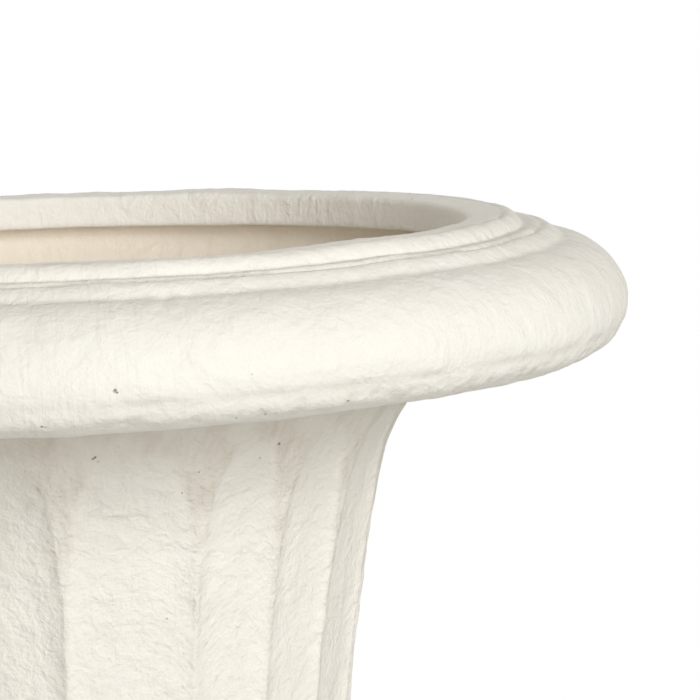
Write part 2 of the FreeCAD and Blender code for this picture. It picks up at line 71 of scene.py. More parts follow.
def outline(corners, gap):
    """A closed outline from corners of reach, height and, where given, bulge and gap."""
    points = []
    runs = []
    travelled = 0
    before = corners[-1][:2]
    for corner in corners:
        bulge = corner[2] if len(corner) > 2 else 0
        spacing = corner[3] if len(corner) > 3 else gap
        piece = stretch(before, corner[:2], bulge, spacing)
        points += piece
        travelled += sum((b - a).length for a, b in zip([Vector(before)] + piece, piece))
        runs.append(travelled)
        before = corner[:2]
    return points, runs


def hold(piece):
    """Select this piece alone."""
    bpy.ops.object.select_all(action="DESELECT")
    piece.select_set(True)
    bpy.context.view_layer.objects.active = piece


def turned(name, points, steps):
    """Turn a closed outline of reach and height about the urn's axis."""
    bpy.ops.object.select_all(action="DESELECT")
    bpy.ops.mesh.primitive_circle_add(vertices=len(points), radius=0.01, location=(0, 0, 0))
    piece = bpy.context.object
    piece.name = name
    piece.data.name = name
    for vertex, point in zip(piece.data.vertices, points):
        vertex.co = (point.x, 0, point.y)
    turning = piece.modifiers.new("turning", "SCREW")
    turning.steps = steps
    turning.render_steps = steps
    turning.use_merge_vertices = True
    turning.merge_threshold = 0.00001
    bpy.ops.object.modifier_apply(modifier="turning")
    bpy.ops.object.mode_set(mode="EDIT")
    bpy.ops.mesh.select_all(action="SELECT")
    bpy.ops.mesh.remove_doubles(threshold=0.00001)
    bpy.ops.mesh.delete_loose()
    bpy.ops.mesh.select_all(action="SELECT")
    bpy.ops.mesh.normals_make_consistent(inside=False)
    bpy.ops.object.mode_set(mode="OBJECT")
    bpy.ops.object.shade_smooth()
    return piece


def joined(name, pieces):
    """Put like pieces into one object."""
    bpy.ops.object.select_all(action="DESELECT")
    for piece in pieces:
        piece.select_set(True)
    bpy.context.view_layer.objects.active = pieces[0]
    bpy.ops.object.join()
    pieces[0].name = name
    pieces[0].data.name = name
    return pieces[0]


def set_down(piece):
    """Leave the piece where it is, with its origin on the floor under the urn."""
    hold(piece)
    bpy.ops.object.transform_apply(location=True, rotation=True, scale=True)


def material(name):
    """A fresh material with its tree, its surface shader and its object coordinates."""
    made = bpy.data.materials.new(name)
    made.use_nodes = True
    tree = made.node_tree
    surface = tree.nodes["Principled BSDF"]
    place = tree.nodes.new("ShaderNodeTexCoord").outputs["Object"]
    return made, tree, surface, place


def add(tree, kind, settings=None, **inputs):
    """Add a node. A number is set and a socket is linked."""
    made = tree.nodes.new("ShaderNode" + kind)
    for key, value in (settings or {}).items():
        setattr(made, key, value)
    for key, value in inputs.items():
        socket = made.inputs[int(key[1:])] if key[0] == "_" else made.inputs[key.replace("_", " ")]
        if isinstance(value, bpy.types.NodeSocket):
            tree.links.new(value, socket)
        else:
            socket.default_value = value
    return made


def sums(tree, operation, first, second=0.0):
    """Add a math node and give its result."""
    return add(tree, "Math", {"operation": operation}, _0=first, _1=second).outputs[0]


def shaded(tree, value, low, dark, high, light):
    """A colour that runs from dark at a low value to light at a high one."""
    ramp = add(tree, "ValToRGB", None, Fac=value)
    for stop, level, colour in zip(ramp.color_ramp.elements, (low, high), (dark, light)):
        stop.position = level
        stop.color = (*colour, 1)
    return ramp.outputs["Color"]


def dress(tree, surface, colour, rough, height, strength, distance):
    """Give a surface its colour, roughness and fine relief."""
    bump = add(tree, "Bump", None, Strength=strength, Distance=distance, Height=height)
    tree.links.new(colour, surface.inputs["Base Color"])
    tree.links.new(rough, surface.inputs["Roughness"])
    tree.links.new(bump.outputs["Normal"], surface.inputs["Normal"])


def rubber(name, colour, roughness, grain):
    """Sheet or moulded rubber: talc bloom, fine grain."""
    made, tree, surface, place = material(name)
    fine = add(tree, "TexNoise", None, Vector=place, Scale=grain, Detail=4.0, Roughness=0.6).outputs["Fac"]
    bloom = add(tree, "TexNoise", None, Vector=place, Scale=grain / 14, Detail=5.0, Roughness=0.65)
    bloomed = [shade * 1.7 + 0.012 for shade in colour]
    tint = shaded(tree, bloom.outputs["Fac"], 0.35, colour, 0.75, bloomed)
    rough = add(tree, "MapRange", None, Value=fine, _3=roughness - 0.12, _4=roughness + 0.1).outputs[0]
    dress(tree, surface, tint, rough, fine, 0.35, 0.0004)
    return made


pads_low, pads_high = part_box("foot_pads")
pad_top = pads_high.z
pad_radius = 0.014
pad_place = pads_high.x - pad_radius
sole = [Vector((0, 0.0004))]
for rib in range(1, 6):
    sole.append(Vector((rib * 0.0021, 0.0 if rib % 2 else 0.0004)))
sole += [
    Vector((0.0128, 0.0)),
    Vector((0.0136, 0.0003)),
    Vector((pad_radius, 0.0010)),
    Vector((0.01395, 0.0025)),
    Vector((pad_radius, pad_top - 0.0008)),
    Vector((0.0136, pad_top - 0.0001)),
    Vector((0.0126, pad_top)),
    Vector((0, pad_top)),
]
first_pad = turned("pad", sole, 48)
bpy.ops.object.shade_smooth_by_angle(angle=math.radians(35))
pads = []
for side, end in ((1, 1), (-1, 1), (-1, -1), (1, -1)):
    pad = first_pad.copy()
    pad.data = first_pad.data.copy()
    bpy.context.collection.objects.link(pad)
    pad.location = (side * pad_place, end * pad_place, 0)
    set_down(pad)
    pads.append(pad)
bpy.data.objects.remove(first_pad)
foot_pads = joined("rubber_pads", pads)
sheet_rubber = rubber("sheet_rubber", (0.022, 0.022, 0.023), 0.72, 1500)
foot_pads.data.materials.append(sheet_rubber)
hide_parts("foot_pads")
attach(foot_pads, "urn")


# ------------------------------------------------------------------- plinth
# A square block of fibre clay, laid up by hand in a mould and open below. The coat is brushed on,
# so faces are a little wavy, edges are worn round and pinholes show.

def fading(tree, value, low, high, first=1.0, last=0.0):
    """A smooth step from first at the low value to last at the high one."""
    return add(
        tree, "MapRange", {"interpolation_type": "SMOOTHSTEP"}, Value=value, _1=low, _2=high, _3=first, _4=last
    ).outputs[0]


def hand_coat():
    """The brushed coat: height in metres, tone and pinholes, from how it lies, is combed and crumbles."""
    tree = bpy.data.node_groups.new("hand_coat", "ShaderNodeTree")
    for name, way, kind in (
        ("Along", "INPUT", "Vector"),
        ("Strokes", "INPUT", "Vector"),
        ("Crumbling", "INPUT", "Float"),
        ("Height", "OUTPUT", "Float"),
        ("Tone", "OUTPUT", "Float"),
        ("Pits", "OUTPUT", "Float"),
    ):
        tree.interface.new_socket(name, in_out=way, socket_type="NodeSocket" + kind)
    given = tree.nodes.new("NodeGroupInput")
    result = tree.nodes.new("NodeGroupOutput")
    along = given.outputs["Along"]
    strokes = given.outputs["Strokes"]
    crumbling = given.outputs["Crumbling"]
    grit = add(tree, "TexNoise", None, Vector=along, Scale=620.0, Detail=3.0, Roughness=0.6)
    peel = add(tree, "TexNoise", None, Vector=along, Scale=190.0, Detail=4.0, Roughness=0.62, Distortion=0.5)
    lumps = add(tree, "TexNoise", None, Vector=along, Scale=58.0, Detail=3.0, Roughness=0.55, Distortion=0.6)
    ridged = {"noise_type": "RIDGED_MULTIFRACTAL"}
    folds = add(tree, "TexNoise", ridged, Vector=along, Scale=46.0, Detail=2.0, Distortion=0.9)
    brushed = add(tree, "TexNoise", None, Vector=strokes, Detail=3.0, Scale=1.0, Roughness=0.6, Distortion=0.5)
    patches = add(tree, "TexNoise", None, Vector=along, Scale=14.0, Detail=2.0, Roughness=0.5)
    brushing = add(tree, "MapRange", None, Value=patches.outputs["Fac"], _1=0.45, _2=0.62, _3=0.05, _4=1.0)
    brushing = sums(tree, "MAXIMUM", brushing.outputs[0], crumbling)
    stroke = sums(tree, "MULTIPLY", brushed.outputs["Fac"], brushing)
    crumbs = add(tree, "TexVoronoi", None, Vector=along, Scale=230.0, Detail=1.0, Roughness=0.6)
    flakes = add(tree, "TexNoise", None, Vector=along, Scale=420.0, Detail=2.0, Roughness=0.6, Distortion=1.0)
    loose = sums(tree, "ADD", crumbs.outputs["Distance"], flakes.outputs["Fac"])
    spots = add(tree, "TexVoronoi", None, Vector=along, Scale=74.0, Randomness=1.0)
    chosen = add(tree, "SeparateColor", None, Color=spots.outputs["Color"])
    wide = add(tree, "MapRange", None, Value=chosen.outputs[0], _1=0.78, _2=1.0, _3=0.0, _4=0.075)
    inside = sums(tree, "DIVIDE", spots.outputs["Distance"], sums(tree, "MAXIMUM", wide.outputs[0], 0.0001))
    pits = fading(tree, inside, 0.6, 1.0)
    burr = fading(tree, inside, 1.1, 2.2)
    raised = sums(tree, "MULTIPLY", grit.outputs["Fac"], 0.00026)
    for layer, height in (
        (peel.outputs["Fac"], 0.0013),
        (lumps.outputs["Fac"], 0.0024),
        (folds.outputs["Fac"], 0.00042),
        (stroke, 0.00060),
        (sums(tree, "MULTIPLY", loose, crumbling), 0.00085),
        (burr, 0.00018),
    ):
        raised = sums(tree, "ADD", raised, sums(tree, "MULTIPLY", layer, height))
    raised = sums(tree, "SUBTRACT", raised, sums(tree, "MULTIPLY", pits, 0.0011))
    cloud = add(tree, "TexNoise", None, Vector=along, Scale=9.0, Detail=5.0, Roughness=0.6)
    clouded = sums(tree, "MULTIPLY", cloud.outputs["Fac"], 0.6)
    tone = sums(tree, "ADD", clouded, sums(tree, "MULTIPLY", peel.outputs["Fac"], 0.4))
    for output, name in ((raised, "Height"), (tone, "Tone"), (pits, "Pits")):
        tree.links.new(output, result.inputs[name])
    return tree


coat_effect = hand_coat()


def clay(name, strokes, light, dark, roughness, relief, blowholes=()):
    """Off-white coat on fibre clay. The piece's own attributes say how the coat lies on it and where it is
    darkened, by dirt and by painted shade.
    """
    made, tree, surface, place = material(name)
    lay = add(tree, "Attribute", {"attribute_name": "lay"}).outputs["Vector"]
    comb = add(tree, "Attribute", {"attribute_name": "comb"}).outputs["Vector"]
    hollow = add(tree, "Attribute", {"attribute_name": "hollow"}).outputs["Fac"]
    bare = add(tree, "Attribute", {"attribute_name": "bare"}).outputs["Fac"]
    crumbling = add(tree, "Attribute", {"attribute_name": "crumbling"}).outputs["Fac"]
    stroke = add(tree, "Mapping", None, Vector=comb, Scale=strokes).outputs[0]
    coat = add(tree, "Group", {"node_tree": coat_effect}, Along=lay, Strokes=stroke, Crumbling=crumbling)
    tone = add(tree, "MapRange", None, Value=coat.outputs["Tone"], _1=0.3, _2=0.7)
    worn = add(tree, "Mix", {"data_type": "RGBA"}, _0=tone.outputs[0], _6=(*dark, 1), _7=(*light, 1))
    # Darkening: pinholes and blowholes, and the hollow attribute, which holds painted shade in creases,
    # grooves and under the rim as well as dirt.
    shade_and_dirt = sums(tree, "MAXIMUM", sums(tree, "MULTIPLY", coat.outputs["Pits"], 0.9), hollow)
    height = coat.outputs["Height"]
    ragged = add(tree, "TexNoise", None, Vector=place, Scale=900.0, Detail=2.0)
    for x, y, z, size in blowholes:
        away = add(tree, "VectorMath", {"operation": "DISTANCE"}, _0=place, _1=(x, y, z))
        away = sums(tree, "ADD", away.outputs["Value"], sums(tree, "MULTIPLY", ragged.outputs["Fac"], size))
        hole = fading(tree, away, size * 0.9, size * 1.6)
        shade_and_dirt = sums(tree, "MAXIMUM", shade_and_dirt, sums(tree, "MULTIPLY", hole, 1.5))
        height = sums(tree, "SUBTRACT", height, sums(tree, "MULTIPLY", hole, 0.0016))
    raw_clay = (0.83, 0.765, 0.665, 1)
    # One dark colour stands for dirt and for painted shade alike.
    shade_and_dirt_colour = (0.48, 0.40, 0.30, 1)
    uncoated = add(tree, "Mix", {"data_type": "RGBA"}, _0=bare, _6=worn.outputs[2], _7=raw_clay)
    shaded_and_soiled = add(tree, "Mix", {"data_type": "RGBA"}, _0=shade_and_dirt, _6=uncoated.outputs[2], _7=shade_and_dirt_colour)
    smooth = roughness - 0.1
    rough = add(tree, "MapRange", None, Value=coat.outputs["Tone"], _1=0.3, _2=0.7, _3=roughness, _4=smooth)
    surface.inputs["Specular IOR Level"].default_value = 0.35
    dress(tree, surface, shaded_and_soiled.outputs[2], rough.outputs[0], height, relief, 1.0)
    return made


def laid(piece, moves, points):
    """Move each point, and store how the coat lies there: place, combing, painted shade and dirt, bare clay,
    crumbling.
    """
    for vertex, place in zip(piece.data.vertices, moves):
        vertex.co = place
    places, combs, *amounts = zip(*points)
    for name, vectors in (("lay", places), ("comb", combs)):
        stored = piece.data.attributes.new(name, "FLOAT_VECTOR", "POINT")
        stored.data.foreach_set("vector", [number for vector in vectors for number in vector])
    # The hollow attribute holds the darkening: painted shade and dirt.
    for name, values in zip(("hollow", "bare", "crumbling"), amounts):
        stored = piece.data.attributes.new(name, "FLOAT", "POINT")
        stored.data.foreach_set("value", [min(1.0, max(0.0, value)) for value in values])


def grain(x, y, z, size):
    """Smooth random number from about -1 to 1, in lumps of about this size."""
    return noise.noise((x / size, y / size, z / size))


def ease(value, low, high):
    """0 up to low, 1 from high, and an even curve between."""
    part = min(1, max(0, (value - low) / (high - low)))
    return part * part * (3 - 2 * part)


def pick(piece, wanted):
    """In edit mode, select the edges that run as wanted, from end to end."""
    bpy.ops.mesh.select_all(action="DESELECT")
    bpy.ops.object.mode_set(mode="OBJECT")
    for edge in piece.data.edges:
        start, finish = (piece.data.vertices[index].co for index in edge.vertices)
        edge.select = wanted(start - finish)
    bpy.ops.object.mode_set(mode="EDIT")


def carve(piece, *tools):
    """Cut tools out of a piece and throw them away."""
    for tool in tools:
        cutting = piece.modifiers.new("cut", "BOOLEAN")
        cutting.operation = "DIFFERENCE"
        cutting.solver = "MANIFOLD"
        cutting.object = tool
        bpy.context.view_layer.objects.active = piece
        bpy.ops.object.modifier_apply(modifier="cut")
        bpy.data.objects.remove(tool)
    piece.data.materials.clear()


def drill(radius, low, high, x=0.0, y=0.0, vertices=64):
    """A straight cutter for a round hole."""
    bpy.ops.object.select_all(action="DESELECT")
    bpy.ops.mesh.primitive_cylinder_add(
        vertices=vertices, radius=radius, depth=high - low, location=(x, y, (low + high) / 2)
    )
    return bpy.context.object


plinth_low, plinth_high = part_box("plinth")
plinth_wide = plinth_high.x - plinth_low.x
plinth_tall = plinth_high.z - plinth_low.z
plinth_round = 0.0035
plinth_wall = 0.016
web_under = plinth_high.z - 0.014
bpy.ops.object.select_all(action="DESELECT")
bpy.ops.mesh.primitive_cube_add(size=1, location=(0, 0, (plinth_low.z + plinth_high.z) / 2))
plinth = bpy.context.object
plinth.name = "plinth_block"
plinth.data.name = "plinth_block"
plinth.scale = (plinth_wide, plinth_wide, plinth_tall)
set_down(plinth)
bpy.ops.object.mode_set(mode="EDIT")
bpy.ops.mesh.select_all(action="SELECT")
bpy.ops.mesh.bevel(offset=plinth_round, segments=4, affect="EDGES")
pick(plinth, lambda along: along.length > 0.1)
bpy.ops.mesh.subdivide(number_cuts=66)
bpy.ops.mesh.select_mode(type="EDGE")
pick(plinth, lambda along: abs(along.z) > 0.03)
bpy.ops.mesh.subdivide(number_cuts=13)
bpy.ops.mesh.select_mode(type="VERT")
bpy.ops.object.mode_set(mode="OBJECT")
hollow_half = plinth_wide / 2 - plinth_wall
hollow_tall = 0.1
bpy.ops.object.select_all(action="DESELECT")
bpy.ops.mesh.primitive_cube_add(size=1, location=(0, 0, web_under - hollow_tall / 2))
hollow = bpy.context.object
hollow.scale = (2 * hollow_half, 2 * hollow_half, hollow_tall)
set_down(hollow)
bpy.ops.object.mode_set(mode="EDIT")
bpy.ops.mesh.select_all(action="SELECT")
bpy.ops.mesh.bevel(offset=hollow_tall / 2, segments=14, affect="EDGES")
bpy.ops.object.mode_set(mode="OBJECT")
rod_bore = 0.007
weep_place = 0.06
holes = [drill(rod_bore, web_under - 0.01, plinth_high.z + 0.01)]
for quarter in range(4):
    turn = quarter * math.pi / 2
    weep_x = weep_place * math.cos(turn)
    weep_y = weep_place * math.sin(turn)
    holes.append(drill(rod_bore, web_under - 0.01, plinth_high.z + 0.01, weep_x, weep_y))
carve(plinth, hollow, *holes)
hold(plinth)
bpy.ops.object.mode_set(mode="EDIT")
bpy.ops.mesh.select_all(action="SELECT")
bpy.ops.mesh.remove_doubles(threshold=0.00002)
bpy.ops.mesh.normals_make_consistent(inside=False)
bpy.ops.object.mode_set(mode="OBJECT")
bpy.ops.object.shade_smooth_by_angle(angle=math.radians(50))
lay = []
moves = []
for vertex in plinth.data.vertices:
    x, y, z = vertex.co
    edge = max(abs(x), abs(y))
    shown = ease(math.hypot(x, y), 0.119, 0.123) if z > plinth_high.z - 0.001 else 1
    shown *= ease(z, plinth_low.z + 0.0005, plinth_low.z + 0.004)
    shown *= 1 if edge > hollow_half + 0.001 or z > plinth_high.z - 0.001 else 0
    swell = 0.0007 * grain(x, y, z + 3.1, 0.06) + 0.0003 * grain(x, y, z + 7.7, 0.018)
    swell += 0.00012 * grain(x, y, z, 0.006)
    moves.append(vertex.co + vertex.normal * swell * shown)
    worn = ease(edge + z, plinth_high.x + plinth_high.z - 0.006, plinth_high.x + plinth_high.z - 0.001)
    splashed = 0.10 * ease(plinth_high.z - 0.002 - z, 0.030, 0.043)
    lay.append(((x, y, z), (x, y, z), splashed, 1 - shown, 0.5 * worn))
laid(plinth, moves, lay)
foot_clay = clay("foot_clay", (26, 26, 190), (0.885, 0.862, 0.80), (0.835, 0.805, 0.725), 0.82, 0.9)
plinth.data.materials.append(foot_clay)
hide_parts("plinth")
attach(plinth, "urn")


# ----------------------------------------------------------------- pedestal
# Hollow turned foot in fibre clay, laid up in a two-part mould: a bead and step, a long sweep,
# a knop between two bands and a flared seat. Coated with the same brush as the plinth.

ped_low, ped_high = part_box("pedestal")
foot_reach = ped_high.x - 0.012
bead_top = ped_low.z + 0.024
sweep_foot = bead_top + 0.006
sweep_top = sweep_foot + 0.080
knop_foot = sweep_top + 0.005
knop_top = knop_foot + 0.022
band_top = knop_top + 0.005
seat_foot = ped_high.z - 0.010
seat_reach = 0.075
neck = 0.044
band = neck + 0.006
knop = neck + 0.004
drain_bore = 0.0125
drain_x = 0.038
ped_line, ped_runs = outline(
    [
        (0.082, ped_low.z),
        (foot_reach, ped_low.z),
        (foot_reach, bead_top, 0.012, 0.0016),
        (0.096, bead_top, 0, 0.002),
        (0.096, sweep_foot, 0, 0.0015),
        (0.092, sweep_foot, 0, 0.0015),
        (neck, sweep_top, -0.096, 0.0026),
        (band, sweep_top, 0, 0.0015),
        (band, knop_foot, 0, 0.0015),
        (knop, knop_foot, 0, 0.002),
        (knop, knop_top, 0.011, 0.0017),
        (band, knop_top, 0, 0.002),
        (band, band_top, 0, 0.0015),
        (neck, band_top, 0, 0.0015),
        (seat_reach - 0.006, seat_foot, -0.036, 0.0018),
        (seat_reach, seat_foot, 0, 0.0015),
        (seat_reach, ped_high.z, 0, 0.0018),
        (rod_bore, ped_high.z, 0, 0.009),
        (rod_bore, ped_high.z - 0.014, 0, 0.007),
        (0.055, ped_high.z - 0.014, 0, 0.009),
        (0.030, band_top, 0.050, 0.006),
        (0.030, sweep_top, 0, 0.012),
        (0.078, sweep_foot, 0.110, 0.008),
    ],
    0.010,
)


def soften(points):
    """Wear the corners of an outline, as a casting's edges are worn."""
    return [
        (points[index - 1] + 2 * point + points[(index + 1) % len(points)]) / 4
        for index, point in enumerate(points)
    ]


def follow(piece, points):
    """How far along the outline each point of a turned piece lies, in metres."""
    tree = kdtree.KDTree(len(points))
    run = []
    travelled = 0
    for index, point in enumerate(points):
        tree.insert((point.x, point.y, 0), index)
        travelled += (point - points[index - 1]).length
        run.append(travelled)
    tree.balance()
    found = []
    for vertex in piece.data.vertices:
        found.append(run[tree.find((math.hypot(vertex.co.x, vertex.co.y), vertex.co.z, 0))[1]])
    return found


def near(value, line, wide):
    """1 on a line, falling off evenly on both sides of it."""
    return math.exp(-(((value - line) / wide) ** 2))


def in_coat(run, first, last):
    """1 on the stretch of an outline that the brush reached, from first to last."""
    return ease(run, first - 0.0005, first + 0.003) * (1 - ease(run, last - 0.004, last - 0.001))


ped_line = soften(ped_line)
pedestal = turned("turned_pedestal", ped_line, 400)
carve(pedestal, drill(drain_bore, ped_high.z - 0.03, ped_high.z + 0.02, drain_x))
ped_run = follow(pedestal, ped_line)
lay = []
moves = []
for vertex, run in zip(pedestal.data.vertices, ped_run):
    x, y, z = vertex.co
    reach = math.hypot(x, y)
    a = x / reach * 0.08
    b = y / reach * 0.08
    shown = in_coat(run, ped_runs[1], ped_runs[16])
    swell = 0.0006 * grain(a, b, run, 0.055) + 0.0003 * grain(a, b, run + 4.0, 0.016)
    swell += 0.00016 * grain(a / 6, b / 6, run, 0.0035) + 0.0001 * grain(a, b, run, 0.005)
    crease = max(near(run, ped_runs[corner], 0.0016) for corner in (4, 5, 6, 8, 9, 11, 13))
    inner = near(run, ped_runs[3], 0.0016)
    moves.append(vertex.co + vertex.normal * swell * shown)
    # Painted shade: the coat is darkened at the outline's corners and in the bead's inner step.
    lay.append(((a, b, run), (a, b, run), 0.22 * max(inner, 0.55 * crease), 1 - shown, 0.2 * crease))
laid(pedestal, moves, lay)
bpy.ops.object.shade_smooth_by_angle(angle=math.radians(60))
pedestal.data.materials.append(foot_clay)
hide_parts("pedestal")
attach(pedestal, "urn")


# -------------------------------------------------------------- bowl gasket
# A rubber sheet washer, cut with a knife, that beds the bowl on the pedestal and squeezes out a
# little at its edge.

gasket_low, gasket_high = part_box("bowl_gasket")
gasket_reach = gasket_high.x
gasket_mid = (gasket_low.z + gasket_high.z) / 2
gasket_line, _ = outline(
    [
        (rod_bore, gasket_low.z),
        (gasket_reach - 0.0006, gasket_low.z, 0, 0.005),
        (gasket_reach - 0.0002, gasket_low.z + 0.0005),
        (gasket_reach, gasket_mid),
        (gasket_reach - 0.0002, gasket_high.z - 0.0005),
        (gasket_reach - 0.0006, gasket_high.z),
        (rod_bore, gasket_high.z, 0, 0.005),
    ],
    0.001,
)
gasket = turned("rubber_gasket", gasket_line, 160)
carve(gasket, drill(drain_bore, gasket_low.z - 0.01, gasket_high.z + 0.01, drain_x))
bpy.ops.object.shade_smooth_by_angle(angle=math.radians(40))
gasket.data.materials.append(sheet_rubber)
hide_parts("bowl_gasket")
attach(gasket, "urn")


# --------------------------------------------------------------------- bowl
# Bell, waist and cup laid up as one casting. The flutes are scooped by hand, so no two are alike:
# shallow channels with arched tops, between ridges that widen upwards. Gadroons round the cup.

bowl_low, bowl_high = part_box("fluted_bowl")
cup_foot = bowl_low.z + 0.010
cup_mid = cup_foot + 0.065
cup_top = cup_mid + 0.034
cup_centre = 0.083
shoulder = cup_centre + math.sqrt(0.065 ** 2 - 0.034 ** 2)
astragal_top = cup_top + 0.014
waist = astragal_top + 0.030
waist_reach = 0.1255
sine = 0.215
cosine = math.sqrt(1 - sine * sine)
sweep_top = waist + 0.215
flare_centre = waist_reach + 1.0 - 0.9 * cosine
flare_level = waist + 0.9 * sine
top_rise = bowl_high.z - flare_level
throat = flare_centre - math.sqrt(0.1 ** 2 - top_rise ** 2)
throat_bore = flare_centre - math.sqrt(0.116 ** 2 - top_rise ** 2)
wall = 0.016
inner_shoulder = cup_mid + math.sqrt(0.049 ** 2 - (waist_reach - wall - cup_centre) ** 2)
bowl_line, bowl_runs = outline(
    [
        (rod_bore, bowl_low.z, 0, 0.008),
        (0.070, bowl_low.z, 0, 0.010),
        (0.070, cup_foot, 0, 0.0025),
        (cup_centre, cup_foot, 0, 0.0035),
        (shoulder, cup_top, 0.065, 0.0054),
        (0.1285, cup_top, 0, 0.002),
        (0.1285, astragal_top, 0.007, 0.0026),
        (waist_reach, astragal_top, 0, 0.0018),
        (waist_reach, waist, 0, 0.0045),
        (waist_reach + 1.0 * (1 - cosine), sweep_top, -1.0, 0.0042),
        (throat, bowl_high.z, -0.1, 0.0028),
        (throat_bore, bowl_high.z, 0, 0.010),
        (waist_reach + 1.0 - 1.016 * cosine, waist + 1.016 * sine, 0.116, 0.018),
        (waist_reach - wall, waist, 1.016, 0.030),
        (waist_reach - wall, inner_shoulder, 0, 0.020),
        (cup_centre, cup_foot + wall, -0.049, 0.016),
        (rod_bore, cup_foot + wall, 0, 0.018),
    ],
    0.010,
)
bowl_line = soften(bowl_line)
bowl = turned("fluted_bell", bowl_line, 580)
floor_level = cup_foot + wall
carve(
    bowl,
    drill(drain_bore, bowl_low.z - 0.02, floor_level + 0.02, drain_x),
    drill(0.016, floor_level - 0.003, floor_level + 0.02, drain_x),
)
bowl_run = follow(bowl, bowl_line)

# Ridges between flutes, in degrees from the front towards the right.
draw = random.Random(41)
ridges = [-1.0, 22.0, 38.0, 54.0]
gaps = [draw.uniform(16.4, 19.4) for _ in range(17)]
for gap in gaps[:-1]:
    ridges.append(ridges[-1] + gap * 305 / sum(gaps))
flute_depth = 0.0034
flute_top = bowl_high.z - 0.022
flute_foot = waist - 0.004
lifts = [draw.uniform(-0.003, 0.003) for _ in range(2 * len(ridges))]
flute_lift = [0.000, 0.001, 0.000] + lifts[len(ridges) + 3:]


def scoop(bearing, reach, z):
    """How far inside its flute a point lies, how far across, half the spacing, and the flute's number."""
    turn = (bearing - ridges[0]) % 360 + ridges[0]
    number = sum(1 for ridge in ridges if ridge <= turn) - 1
    low = ridges[number]
    high = ridges[number + 1] if number + 1 < len(ridges) else ridges[0] + 360
    middle = (low + high) / 2
    half = math.radians((high - low) / 2) * reach
    across = math.radians(turn - middle) * reach
    ridge = 0.0006 + 0.0062 * min(1, max(0, (z - bowl_high.z + 0.115) / 0.100)) ** 1.6
    width = half - ridge
    top = flute_top + flute_lift[number]
    arch = max(0, (z - (top - 0.048)) / 0.048)
    foot = max(0, (flute_foot + 0.012 - z) / 0.016)
    fill = 1 - abs(across / width) ** 3.6 - arch ** 2 - foot ** 2
    return fill, across, half, number


